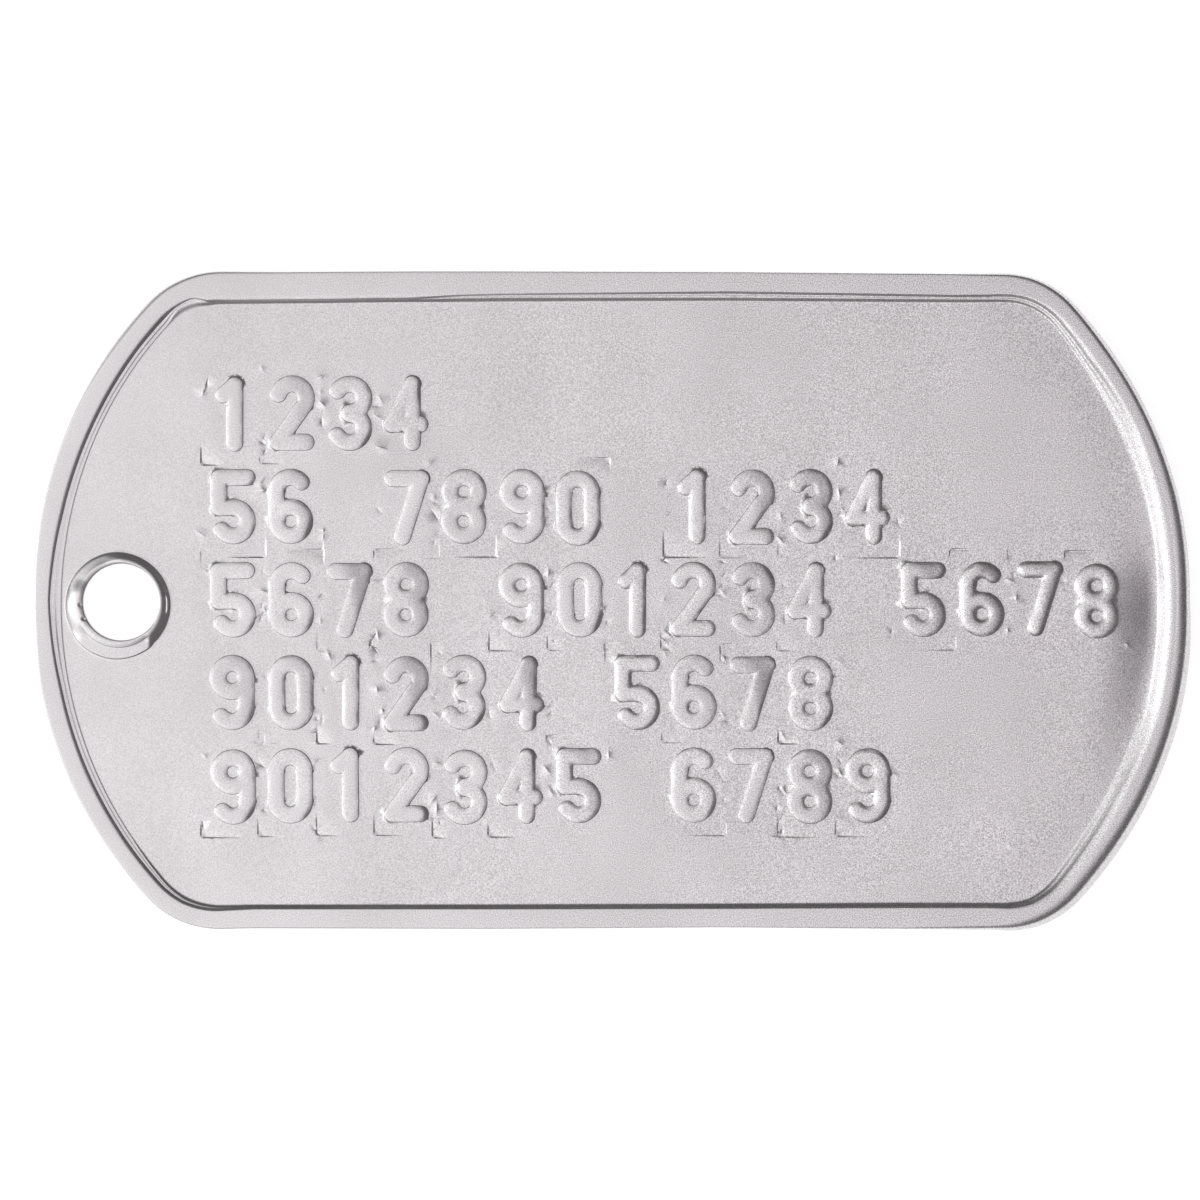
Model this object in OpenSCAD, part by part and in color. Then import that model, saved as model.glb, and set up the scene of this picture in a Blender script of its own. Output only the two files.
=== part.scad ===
// Identification tag, pressed from one steel sheet: a rolled rim with its hem turned
// under, a flat panel, a raised collar round the punched hole, and rows of embossed
// numerals that are sunk at the back. Millimetres. The tag lies on its hem at Z = 0
// with its face up, the hole towards -X, and the origin under its middle.

/* [Outline] */
// Length over the rolled rim
tag_length = 50.8; // [44:0.1:60]
// Width over the rolled rim
tag_width = 28.9; // [25:0.1:32]
// Radius of each curved end
end_radius = 19.6; // [17:0.1:24]
// Radius of each corner, between an end and a long side
corner_radius = 4.4; // [3:0.1:6]

/* [Sheet and rim] */
// Thickness of the sheet
sheet_thickness = 0.4; // [0.3:0.05:0.6]
// Height of the rolled rim, from its hem to its crown
rim_height = 1.1; // [0.9:0.05:1.4]
// Width of the rim's crown at the front, from the tag's edge
crown_width = 0.85; // [0.75:0.05:1.4]
// Width of the steep slope from the crown down to the ledge
crown_slope = 0.1; // [0.05:0.01:0.2]
// Width of the ledge between the crown and the panel
ledge_width = 0.15; // [0.1:0.01:0.4]
// Height of the ledge above the panel
ledge_height = 0.12; // [0.05:0.01:0.2]
// Width of the slope from the ledge down to the panel
ledge_slope = 0.1; // [0.05:0.01:0.2]
// Width of the hem at the back
hem_width = 1.25; // [1:0.05:2]

/* [Hole] */
// Diameter of the punched hole
hole_diameter = 3.35; // [2.5:0.05:4.5]
// Height of the collar above the panel
collar_height = 0.28; // [0.1:0.02:0.34]
// Width of the collar's outer slope
collar_slope = 0.36; // [0.2:0.02:0.6]
// Narrowest lip between the hole and the collar's slope
collar_lip = 0.03; // [0.02:0.01:0.3]
// How far the punched hole sits off the collar's centre, along the tag
punch_off_x = 0.19; // [0:0.01:0.3]
// How far the punched hole sits off the collar's centre, across the tag
punch_off_y = 0.17; // [0:0.01:0.3]
// Gap between the rolled rim and the collar
collar_gap = 0.07; // [0.03:0.01:2]

/* [Numerals] */
// Height of a numeral over its strokes
numeral_height = 3.25; // [2.8:0.05:3.9]
// Width of a numeral over its strokes
numeral_width = 1.93; // [1.7:0.01:2.3]
// Width of a raised stroke at the front
stroke_width = 0.68; // [0.5:0.02:0.8]
// Thickness of a stroke's side walls, beside its groove at the back
stroke_wall = 0.15; // [0.1:0.01:0.2]
// Height of the strokes above the panel, and depth of their grooves
numeral_rise = 0.25; // [0.1:0.01:0.34]
// Distance from one column to the next
column_pitch = 2.54; // [2.4:0.02:3]
// Distance from one row to the next
row_pitch = 4.1; // [3.9:0.05:4.8]
// Gap between the collar and the first column
first_gap = 1.75; // [0.5:0.05:4]
// Least gap between a numeral and the rim
numeral_clearance = 0.25; // [0.1:0.05:1]

/* [Hidden] */
$fn = 48;
// How far a cutting shape runs past the face that it cuts
past = 0.2;
// How much wider than its stroke a round end is, as a die presses it
tip_swell = 0.02;

// Rows of numerals from the top one down: how many stand in each group, with one
// empty column between groups. The numerals count on from 1 through all the rows.
ROW_GROUPS = [[4], [2, 4, 4], [4, 6, 4], [6, 4], [7, 4]];

// The centre line of the outline: where its arcs have their centres
end_x = tag_length / 2 - end_radius;
corner_y = tag_width / 2 - corner_radius;
corner_x = end_x + sqrt(pow(end_radius - corner_radius, 2) - pow(corner_y, 2));
corner_start = atan2(corner_y, corner_x - end_x);

// Rim: the sheet lies at the middle of its height
panel_back = (rim_height - sheet_thickness) / 2;
panel_mid = panel_back + sheet_thickness / 2;
panel_front = panel_back + sheet_thickness;
edge_r = rim_height / 2;
rim_width = crown_width + crown_slope + ledge_width + ledge_slope;

// Hole and collar
hole_r = hole_diameter / 2;
collar_top_r = hole_r + norm([punch_off_x, punch_off_y]) + collar_lip;
collar_base_r = collar_top_r + collar_slope;
collar_x = -tag_length / 2 + max(rim_width, hem_width) + collar_gap + collar_base_r;
collar_y = -punch_off_y;
hole_x = collar_x + punch_off_x;
hole_y = 0;

// Numerals: the centre lines of the bowls, and the middle of the first column
bowl_r = (numeral_width - stroke_width) / 2;
bowl_y = (numeral_height - stroke_width) / 2 - bowl_r;
groove_width = stroke_width - 2 * stroke_wall;
first_x = collar_x + collar_base_r + first_gap + numeral_width / 2;

// Strokes of the numerals 0 to 9, as [bars, bends, tips].
// A point is [across, bowls, radii]: across is in bowl radii from the middle, and the
// height is bowls times bowl_y plus radii times bowl_r.
// A bar is [point, point], and a tip is the point where a stroke has a round end.
// A bend is [bowls, start, sweep]: an arc of bowl_r about the middle, in degrees.
STROKES = [
    [[[[-1, 1, 0], [-1, -1, 0]], [[1, 1, 0], [1, -1, 0]]],
     [[1, 0, 180], [-1, 180, 180]],
     []],
    [[[[0.1, 1, 1], [0.1, -1, -1]], [[0.1, 1, 1], [-0.7, 1, 0.3]]],
     [],
     [[0.1, 1, 1], [0.1, -1, -1], [-0.7, 1, 0.3]]],
    [[[[cos(-25), 1, sin(-25)], [-1, -1, -1]], [[-1, -1, -1], [1, -1, -1]]],
     [[1, -25, 190]],
     [[cos(-25), 1, sin(-25)], [-1, -1, -1], [1, -1, -1], [cos(165), 1, sin(165)]]],
    [[[[0, 1, -1], [0, -1, 1]]],
     [[1, -90, 240], [-1, -150, 240]],
     [[0, 1, -1], [0, -1, 1], [cos(150), 1, sin(150)], [cos(-150), -1, sin(-150)]]],
    [[[[0.45, 1, 1], [-1, -1, 0.3]], [[-1, -1, 0.3], [1, -1, 0.3]], [[0.45, 1, 1], [0.45, -1, -1]]],
     [],
     [[0.45, 1, 1], [-1, -1, 0.3], [1, -1, 0.3], [0.45, -1, -1]]],
    [[[[-1, 1, 1], [1, 1, 1]], [[-1, 1, 1], [-1, -1, 1]], [[-1, -1, 1], [0, -1, 1]]],
     [[-1, -145, 235]],
     [[-1, 1, 1], [1, 1, 1], [-1, -1, 1], [0, -1, 1], [cos(-145), -1, sin(-145)]]],
    [[[[-1, -1, 0], [-1, 1, 0]]],
     [[-1, 0, 360], [1, 40, 140]],
     [[cos(40), 1, sin(40)]]],
    [[[[-1, 1, 1], [1, 1, 1]], [[1, 1, 1], [-0.3, -1, -1]]],
     [],
     [[-1, 1, 1], [1, 1, 1], [-0.3, -1, -1]]],
    [[[[0, 1, -1], [0, -1, 1]]],
     [[1, 0, 360], [-1, 0, 360]],
     []],
    [[[[1, 1, 0], [1, -1, 0]]],
     [[1, 0, 360], [-1, -140, 140]],
     [[cos(-140), -1, sin(-140)]]]
];

function point(p) = [p[0] * bowl_r, p[1] * bowl_y + p[2] * bowl_r];
function sum_to(list, n) = n <= 0 ? 0 : list[n - 1] + sum_to(list, n - 1);
function all_of(list) = sum_to(list, len(list));
function before_row(row) = row <= 0 ? 0 : all_of(ROW_GROUPS[row - 1]) + before_row(row - 1);

// Half the length of the panel inside the rim at a height across the tag
function panel_half(y, inset) = end_x + sqrt(max(0, pow(end_radius - inset, 2) - pow(y, 2)));
function fits(x, y) =
    x + numeral_width / 2 <= panel_half(abs(y) + numeral_height / 2, rim_width + numeral_clearance)
    && abs(y) + numeral_height / 2 <= tag_width / 2 - rim_width - numeral_clearance;

// A wedge from the middle outwards, to cut a ring down to one bend
function wedge(start, sweep, reach) = concat([[0, 0]],
    [for (step = [0:6]) reach * [cos(start + sweep * step / 6), sin(start + sweep * step / 6)]]);

module bar_stroke(from, to, width) {
    run = to - from;
    translate(from) rotate(atan2(run.y, run.x)) translate([0, -width / 2]) square([norm(run), width]);
}

module ring(width) {
    difference() {
        circle(r = bowl_r + width / 2);
        circle(r = bowl_r - width / 2);
    }
}

module bend_stroke(start, sweep, width) {
    if (sweep >= 360) ring(width);
    else intersection() {
        ring(width);
        polygon(wedge(start, sweep, 2 * (bowl_r + width)));
    }
}

module numeral(digit, width) {
    strokes = STROKES[digit];
    for (bar = strokes[0]) bar_stroke(point(bar[0]), point(bar[1]), width);
    for (bend = strokes[1]) translate([0, bend[0] * bowl_y]) bend_stroke(bend[1], bend[2], width);
    for (tip = strokes[2]) translate(point(tip)) circle(d = width + tip_swell);
}

// All the rows of numerals that the panel has room for, as flat shapes
module numeral_rows(width) {
    for (row = [0:len(ROW_GROUPS) - 1], group = [0:len(ROW_GROUPS[row]) - 1]) {
        in_row = sum_to(ROW_GROUPS[row], group);
        y = ((len(ROW_GROUPS) - 1) / 2 - row) * row_pitch;
        for (k = [0:ROW_GROUPS[row][group] - 1]) {
            x = first_x + (in_row + group + k) * column_pitch;
            if (fits(x, y)) translate([x, y]) numeral((1 + before_row(row) + in_row + k) % 10, width);
        }
    }
}

// The tag's outline, moved inwards by inset
module outline(inset) {
    square([2 * corner_x, tag_width - 2 * inset], center = true);
    for (side = [0, 1]) mirror([side, 0]) {
        for (up = [-1, 1]) translate([corner_x, up * corner_y]) circle(r = corner_radius - inset);
        translate([end_x, 0]) intersection() {
            circle(r = end_radius - inset);
            polygon(wedge(-corner_start, 2 * corner_start, 2 * end_radius));
        }
    }
}

// Section of the rolled rim, with the tag's edge at X = 0 and the panel towards -X
module rim_section() {
    ledge = panel_front + ledge_height;
    translate([-edge_r, edge_r]) circle(r = edge_r);
    polygon([
        [-edge_r, 0], [-hem_width, 0], [-hem_width, panel_mid], [-rim_width, panel_mid],
        [-rim_width, panel_front], [-rim_width + ledge_slope, ledge],
        [-crown_width - crown_slope, ledge], [-crown_width, rim_height], [-edge_r, rim_height]
    ]);
}

// The rim section turned about an arc's middle, from one angle on through a sweep
module rim_bend(middle, radius, start, sweep) {
    translate([middle.x, middle.y, 0]) rotate_extrude(angle = sweep, start = start)
        translate([radius, 0]) rim_section();
}

// The rim section carried round the outline: one end, two corners and one long side,
// and the same again for the other half
module rolled_rim() {
    for (turn = [0, 180]) rotate([0, 0, turn]) {
        rim_bend([end_x, 0], end_radius, -corner_start, 2 * corner_start);
        rim_bend([corner_x, corner_y], corner_radius, corner_start, 90 - corner_start);
        rim_bend([corner_x, -corner_y], corner_radius, -90, 90 - corner_start);
        translate([-corner_x, tag_width / 2, 0]) rotate([90, 0, 90])
            linear_extrude(2 * corner_x) rim_section();
    }
}

// The collar as a cone standing on a height, up to its flat top
module collar_cone(height) {
    translate([collar_x, collar_y, height])
        cylinder(r1 = collar_base_r, r2 = collar_top_r, h = collar_height);
}

module tag_plate() {
    color("lightgray") difference() {
        union() {
            rolled_rim();
            translate([0, 0, panel_back]) linear_extrude(sheet_thickness) outline(edge_r);
            translate([0, 0, panel_mid])
                linear_extrude(sheet_thickness / 2 + numeral_rise) numeral_rows(stroke_width);
            collar_cone(panel_front);
        }
        collar_cone(panel_back);
        translate([0, 0, panel_back - past]) linear_extrude(past + numeral_rise) numeral_rows(groove_width);
        translate([hole_x, hole_y, 0]) cylinder(r = hole_r, h = rim_height + past);
    }
}

tag_plate();
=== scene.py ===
import math

import bpy
import numpy as np
from mathutils.geometry import delaunay_2d_cdt
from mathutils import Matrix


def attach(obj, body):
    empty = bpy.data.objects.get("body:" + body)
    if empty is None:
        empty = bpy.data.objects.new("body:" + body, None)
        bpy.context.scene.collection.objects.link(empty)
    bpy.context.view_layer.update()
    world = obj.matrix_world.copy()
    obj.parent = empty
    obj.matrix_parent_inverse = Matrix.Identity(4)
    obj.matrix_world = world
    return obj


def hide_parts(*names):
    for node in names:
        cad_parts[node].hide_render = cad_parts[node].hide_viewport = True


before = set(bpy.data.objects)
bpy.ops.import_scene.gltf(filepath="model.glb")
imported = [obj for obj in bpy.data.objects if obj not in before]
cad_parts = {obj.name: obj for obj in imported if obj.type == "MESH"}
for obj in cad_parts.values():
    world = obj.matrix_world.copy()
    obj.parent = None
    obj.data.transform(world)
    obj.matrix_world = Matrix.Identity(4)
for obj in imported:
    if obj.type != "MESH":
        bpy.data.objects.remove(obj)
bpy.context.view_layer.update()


# Blank. The tag starts as one piece of stainless steel sheet, 0.4 mm thick, cut to an
# oblong with curved ends. All the steps below press this sheet, so they make one skin.
# Sizes are in millimetres until the skin is put together.
tag_length = 50.8
tag_width = 28.9
end_radius = 19.6
corner_radius = 4.4
sheet = 0.4
panel_back = 0.35
panel_front = panel_back + sheet
end_x = tag_length / 2 - end_radius
corner_y = tag_width / 2 - corner_radius
corner_x = end_x + math.sqrt((end_radius - corner_radius) ** 2 - corner_y ** 2)
corner_lean = math.atan2(corner_y, corner_x - end_x)

# Shallow waves left by the pressing, and the gutter beside the rim at the right end.
long_wave = 0.010
short_wave = 0.004
gutter_lip = 1.9
gutter_reach = 1.8
gutter_round = 0.4
gutter_from = 13
gutter_full = 20
gutter_least = 0.02
GUTTER_DIPS = [
    # depth, y of its middle, half its length
    [0.17, 0.0, 1.9],
    [0.13, -2.9, 3.4],
]


def ease(value, low, high):
    """A soft step from 0 at low to 1 at high: 3 t squared less 2 t cubed."""
    t = np.clip((value - low) / (high - low), 0, 1)
    return t * t * (3 - 2 * t)


def tag_edge(steps):
    """The cut edge at even steps, anticlockwise from the middle of the right end. Each step
    falls on an arc or a side. Its centre runs from one point to another, its direction
    turns from one angle to another, and the edge lies one radius out from the centre.
    Gives the centres, the directions outwards, the radii and the way along the edge."""
    quarter = math.pi / 2
    half_round = np.array([
        # from x, from y, to x, to y, radius, from angle, to angle
        [end_x, 0, end_x, 0, end_radius, -corner_lean, corner_lean],
        [corner_x, corner_y, corner_x, corner_y, corner_radius, corner_lean, quarter],
        [corner_x, corner_y, -corner_x, corner_y, corner_radius, quarter, quarter],
        [-corner_x, corner_y, -corner_x, corner_y, corner_radius, quarter, math.pi - corner_lean],
    ])
    turned = half_round * [-1, -1, -1, -1, 1, 1, 1] + [0, 0, 0, 0, 0, math.pi, math.pi]
    runs = np.vstack([half_round, turned])
    lengths = np.hypot(runs[:, 2] - runs[:, 0], runs[:, 3] - runs[:, 1])
    lengths = lengths + runs[:, 4] * np.abs(runs[:, 6] - runs[:, 5])
    ends = np.cumsum(lengths)
    way = np.arange(steps) / steps * ends[-1]
    place = (way + lengths[0] / 2) % ends[-1]
    k = np.searchsorted(ends, place, side="right")
    t = ((place - ends[k] + lengths[k]) / lengths[k])[:, None]
    centre = runs[k, 0:2] * (1 - t) + runs[k, 2:4] * t
    angle = runs[k, 5] * (1 - t[:, 0]) + runs[k, 6] * t[:, 0]
    outwards = np.stack([np.cos(angle), np.sin(angle)], axis=1)
    return centre, outwards, runs[k, 4][:, None], way


def sheet_lift(x, y):
    """How far the pressing and rolling bent the sheet up or down: long and short shallow
    waves, each a sine times a cosine, and a gutter inside the rim at the right end. Its
    slope grows towards the rim as a parabola does and then rounds out to level. Its depth
    is a sum of bell curves along y, so it is deepest from the middle downwards."""
    waves = long_wave * np.sin(0.33 * x + 0.21 * y + 0.6) * np.cos(0.29 * y - 0.12 * x)
    waves = waves + short_wave * np.sin(0.9 * x - 0.7 * y + 2.0) * np.cos(0.55 * x + 0.8 * y)
    depth = gutter_least
    for dip, middle, half in GUTTER_DIPS:
        depth = depth + dip * np.exp(-((y - middle) / half) ** 2)
    inset = end_radius - np.hypot(x - end_x, y)
    away = np.clip((inset - gutter_lip) / gutter_reach, 0, 1)
    rounding = np.clip((inset - gutter_lip) / gutter_round + 1, 0, 1)
    fall = gutter_reach * (2 / 3 - away + away ** 3 / 3) + gutter_round / 2 * (1 - rounding ** 2)
    whole_fall = gutter_reach * 2 / 3 + gutter_round / 2
    return waves - depth * fall / whole_fall * ease(x, gutter_from, gutter_full)


# Rolled rim. The edge of the blank is rolled up into a crown and turned under at the back,
# so that a hem lies all the way round. The roller left a ledge inside the crown on the left
# and on part of the top, a plain steep slope along the bottom, and a soft bead at the right.
rim_height = 1.1
rim_steps = 490
crown_dip = 0.004
crown_bow = 0.003
least_crown = 0.04
shoulder_slope = 0.32
swell_edge = 0.07
rim_lap = 0.05
skirt_slope = 2.2
least_side = 0.22
under_round = 0.30
hem_width = 1.2
hem_lap = 0.02
RIM = np.array([
    # mm along the edge, bulge of the edge, skirt, outer round, crown's inner edge, shoulder,
    # step, ledge's rise, foot, toe, toe's rise, swell, the swell's lean towards its foot.
    # The way runs anticlockwise from the middle of the right end: 20 to 52 is the top, 70
    # the middle of the left end, 89 to 120 the bottom. Crown and foot are insets.
    [0.0, 0.05, 0.05, 0.46, 0.57, 0.05, 0.30, 0.05, 1.48, 0.20, 0.10, 1.0, 2.5],
    [4.4, 0.08, 0.05, 0.38, 0.58, 0.05, 0.30, 0.05, 1.50, 0.20, 0.10, 1.0, 2.0],
    [8.0, 0.04, 0.10, 0.28, 0.62, 0.05, 0.20, 0.08, 1.52, 0.12, 0.08, 0.90, 1.6],
    [12.0, -0.03, 0.12, 0.24, 1.02, 0.30, 0.10, 0.10, 1.44, 0.08, 0.08, 0.35, 1.2],
    [14.2, -0.06, 0.08, 0.24, 1.00, 0.18, 0.09, 0.05, 1.35, 0.10, 0.09, 0.12, 1.2],
    [16.5, -0.06, 0.02, 0.20, 0.98, 0.06, 0.08, 0.03, 1.32, 0.11, 0.09, 0.0, 1.2],
    [20.0, -0.08, 0.01, 0.07, 1.02, 0.02, 0.09, 0.02, 1.355, 0.165, 0.12, 0.0, 1.2],
    [30.0, 0.00, 0.01, 0.05, 0.86, 0.02, 0.09, 0.02, 1.285, 0.175, 0.12, 0.0, 1.2],
    [40.0, 0.03, 0.01, 0.05, 0.97, 0.02, 0.05, 0.02, 1.325, 0.215, 0.14, 0.0, 1.2],
    [42.0, 0.03, 0.01, 0.05, 1.02, 0.02, 0.06, 0.01, 1.34, 0.20, 0.14, 0.0, 1.2],
    [44.0, 0.03, 0.01, 0.05, 1.16, 0.16, 0.065, 0.01, 1.32, 0.095, 0.15, 0.0, 1.2],
    [46.0, 0.02, 0.01, 0.05, 1.18, 0.16, 0.07, 0.01, 1.34, 0.09, 0.15, 0.0, 1.2],
    [48.0, 0.01, 0.01, 0.06, 1.225, 0.18, 0.06, 0.01, 1.365, 0.08, 0.15, 0.0, 1.2],
    [50.0, 0.00, 0.01, 0.07, 1.24, 0.19, 0.06, 0.01, 1.38, 0.08, 0.15, 0.0, 1.2],
    [52.0, 0.02, 0.01, 0.10, 1.255, 0.17, 0.055, 0.01, 1.41, 0.10, 0.15, 0.0, 1.2],
    [53.2, 0.04, 0.01, 0.14, 1.22, 0.17, 0.05, 0.01, 1.43, 0.16, 0.13, 0.0, 1.2],
    [54.0, 0.05, 0.01, 0.17, 0.88, 0.04, 0.03, 0.01, 1.36, 0.28, 0.10, 0.0, 1.2],
    [55.0, 0.07, 0.01, 0.20, 0.84, 0.08, 0.06, 0.01, 1.28, 0.28, 0.08, 0.0, 1.2],
    [56.0, 0.08, 0.01, 0.24, 0.81, 0.12, 0.115, 0.03, 1.27, 0.06, 0.014, 0.0, 1.2],
    [58.0, 0.12, 0.02, 0.22, 0.785, 0.12, 0.09, 0.022, 1.22, 0.06, 0.014, 0.0, 1.2],
    [62.0, 0.14, 0.01, 0.06, 0.77, 0.12, 0.075, 0.014, 1.17, 0.06, 0.013, 0.0, 1.2],
    [66.2, 0.13, 0.01, 0.04, 0.72, 0.12, 0.05, 0.004, 1.15, 0.06, 0.012, 0.0, 1.2],
    [70.2, 0.07, 0.01, 0.04, 0.54, 0.04, 0.015, 0.008, 1.12, 0.06, 0.011, 0.0, 1.2],
    [72.0, 0.09, 0.01, 0.04, 0.60, 0.06, 0.020, 0.024, 1.10, 0.06, 0.012, 0.0, 1.2],
    [74.2, 0.18, 0.01, 0.04, 0.66, 0.08, 0.04, 0.012, 1.08, 0.06, 0.012, 0.0, 1.2],
    [78.0, 0.18, 0.01, 0.04, 0.64, 0.12, 0.045, 0.012, 1.04, 0.06, 0.013, 0.0, 1.2],
    [82.0, 0.11, 0.01, 0.04, 0.645, 0.12, 0.07, 0.014, 1.02, 0.06, 0.014, 0.0, 1.2],
    [86.0, 0.09, 0.01, 0.05, 0.67, 0.06, 0.11, 0.01, 0.96, 0.12, 0.14, 0.0, 1.2],
    [89.5, 0.01, 0.01, 0.05, 0.84, 0.03, 0.11, 0.01, 1.01, 0.08, 0.17, 0.0, 1.2],
    [100.0, 0.04, 0.01, 0.05, 0.84, 0.03, 0.11, 0.01, 1.02, 0.09, 0.17, 0.0, 1.2],
    [110.0, -0.03, 0.01, 0.05, 0.86, 0.03, 0.12, 0.01, 1.06, 0.10, 0.17, 0.0, 1.2],
    [118.0, 0.04, 0.01, 0.07, 0.90, 0.04, 0.11, 0.01, 1.10, 0.10, 0.17, 0.0, 1.2],
    [122.0, 0.08, 0.03, 0.22, 0.90, 0.06, 0.11, 0.01, 1.09, 0.10, 0.17, 0.0, 1.2],
    [124.0, 0.22, 0.10, 0.46, 0.84, 0.14, 0.14, 0.01, 1.09, 0.10, 0.15, 0.0, 1.1],
    [126.0, 0.26, 0.15, 0.52, 0.94, 0.42, 0.12, 0.02, 1.30, 0.18, 0.13, 0.1, 1.0],
    [128.0, 0.28, 0.16, 0.54, 0.99, 0.46, 0.12, 0.04, 1.46, 0.28, 0.13, 0.2, 1.0],
    [131.0, 0.32, 0.16, 0.54, 0.97, 0.44, 0.18, 0.05, 1.52, 0.28, 0.13, 0.5, 1.0],
    [135.0, 0.31, 0.17, 0.50, 0.60, 0.05, 0.30, 0.05, 1.50, 0.20, 0.10, 1.0, 1.4],
    [138.0, 0.20, 0.13, 0.46, 0.57, 0.05, 0.30, 0.05, 1.48, 0.20, 0.10, 1.0, 2.1],
])


def rolled_rim(steps):
    """Sections carried round the edge, from the panel over the crown to the hem's inner
    edge at the back. From inside to outside: a toe that climbs by a soft step, a ledge, a
    step up to the crown that is partly straight and partly soft, a shoulder that follows a
    parabola, the crown, an outer round that is a quarter of an ellipse, a steep skirt, and
    a quarter circle under to a flat hem. Where the roller left a soft bead, one swell takes
    the place of toe, ledge and step. Between two rows of RIM each measure runs straight.
    Gives points in rows of steps and columns of the section."""
    centre, outwards, radius, way = tag_edge(steps)
    edge_length = way[-1] * steps / (steps - 1)
    bulge, skirt, outer, crown, shoulder, step, ledge_rise, foot, toe, toe_rise, swell, lean = (
        np.interp(way, RIM[:, 0], column, period=edge_length)[:, None] for column in RIM[:, 1:].T
    )
    at_foot = centre + outwards * (radius - foot - rim_lap)
    base = panel_front + sheet_lift(at_foot[:, 0], at_foot[:, 1])[:, None]

    # toe, ledge, step and shoulder, as insets from the edge and heights
    t = np.linspace(0, 1, 6)[None, :]
    t_inner = t[:, 1:]
    shoulder_fall = shoulder_slope / 2 * shoulder
    crown_top = rim_height - crown_dip
    toe_top = base + toe_rise
    ledge_across = np.array([[0.08, 0.36, 0.42, 0.52, 0.58, 0.92]])
    ledge_up = np.array([[0.03, 0.10, 0.16, 0.84, 0.90, 0.97]])
    ledge_top = toe_top + ledge_rise
    step_top = crown_top - shoulder_fall
    inner_inset = np.hstack([
        foot - toe * t,
        foot - toe - (foot - toe - crown - step) * ledge_across,
        crown + step * (1 - t),
        crown - shoulder * t_inner,
    ])
    inner_height = np.hstack([
        base + toe_rise * ease(t, 0, 1),
        toe_top + ledge_rise * ledge_up,
        ledge_top + (step_top - ledge_top) * (0.35 * t + 0.65 * ease(t, 0, 1)),
        crown_top - shoulder_fall * (1 - t_inner) ** 2,
    ])

    # swell: nearly all of its fall by one soft step, and the rest by a second one at its foot
    even = np.linspace(0, 1, inner_inset.shape[1])[None, :]
    swell_inset = foot + (crown - foot) * even
    fall = (1 - swell_edge) * ease((1 - even) ** lean, 0, 0.72) + swell_edge * ease(1 - even, 0.5, 1)
    swell_height = crown_top - (crown_top - base) * fall
    inner_inset = (1 - swell) * inner_inset + swell * swell_inset
    inner_height = (1 - swell) * inner_height + swell * swell_height

    # the crown bows up a little on its way to the outer round
    crown_end = np.minimum(outer + skirt - bulge, crown - shoulder - least_crown)
    bow = np.array([[0.1, 0.5, 0.9]])
    crown_inset = inner_inset[:, -1:] + (crown_end - inner_inset[:, -1:]) * bow
    crown_height = np.tile(crown_top + crown_bow * np.sin(math.pi * bow), (steps, 1))

    # outer round, skirt, and the turn under to the hem
    u = np.linspace(0, 1, 9)[None, :] * math.pi / 2
    round_start = skirt - bulge
    skirt_top = crown_top - 0.9 * outer - 0.02
    outer_inset = crown_end + (round_start - crown_end) * np.sin(u)
    outer_height = skirt_top + (crown_top - skirt_top) * np.cos(u)
    side = np.maximum(skirt_top - skirt_slope * skirt, least_side)
    skirt_inset = round_start - skirt * np.array([[0.45, 0.85, 1.0]])
    skirt_height = skirt_top + (side - skirt_top) * np.array([[0.40, 0.80, 1.0]])
    v = np.linspace(0, 1, 5)[None, 1:] * math.pi / 2
    under_inset = under_round * (1 - np.cos(v)) - bulge
    under_height = side * (1 - np.sin(v))

    # hem's flat face, its cut edge, and the step up to the back of the panel
    hem_inset = np.array([[0.7, hem_width - 0.06, hem_width - 0.015, hem_width, hem_width]])
    hem_height = np.array([[0.0, 0.0, 0.015, 0.06, panel_back - 0.03]])
    at_hem = centre + outwards * (radius - hem_width - hem_lap)
    back = panel_back + sheet_lift(at_hem[:, 0], at_hem[:, 1])[:, None]
    hem_height = np.minimum(hem_height, back - 0.02)

    # the section's two ends step in and out a little, so that no three points lie in line
    jog = 0.006 * (np.arange(steps) % 2)[:, None]
    hem_inset = np.tile(hem_inset, (steps, 1))
    inset = np.hstack([foot + rim_lap + jog, inner_inset, crown_inset, outer_inset, skirt_inset])
    inset = np.hstack([inset, under_inset, hem_inset, hem_width + hem_lap + jog])
    height = np.hstack([base, inner_height, crown_height, outer_height, skirt_height])
    height = np.hstack([height, under_height, hem_height, back])
    flat = centre[:, None, :] + outwards[:, None, :] * (radius[:, :, None] - inset[:, :, None])
    return np.concatenate([flat, height[:, :, None]], axis=2)


rim = rolled_rim(rim_steps)


# Chain hole and its collar. A punch pushes the sheet up into a low dome and then cuts the
# hole through it, a little off the dome's middle, so the collar is wider at lower left. The
# punch flattened the collar into a ledge there, rounded its lip and dished the back.
hole_radius = 1.678
hole_middle = np.array([-21.644, -0.091])
crest_radius = 1.825
crest_middle = np.array([-21.746, -0.10])
foot_radius = 2.285
foot_middle = np.array([-21.80, -0.23])
foot_left = 0.05
foot_ledge = 0.04
lip_nick = 0.07
collar_steps = 180


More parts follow.
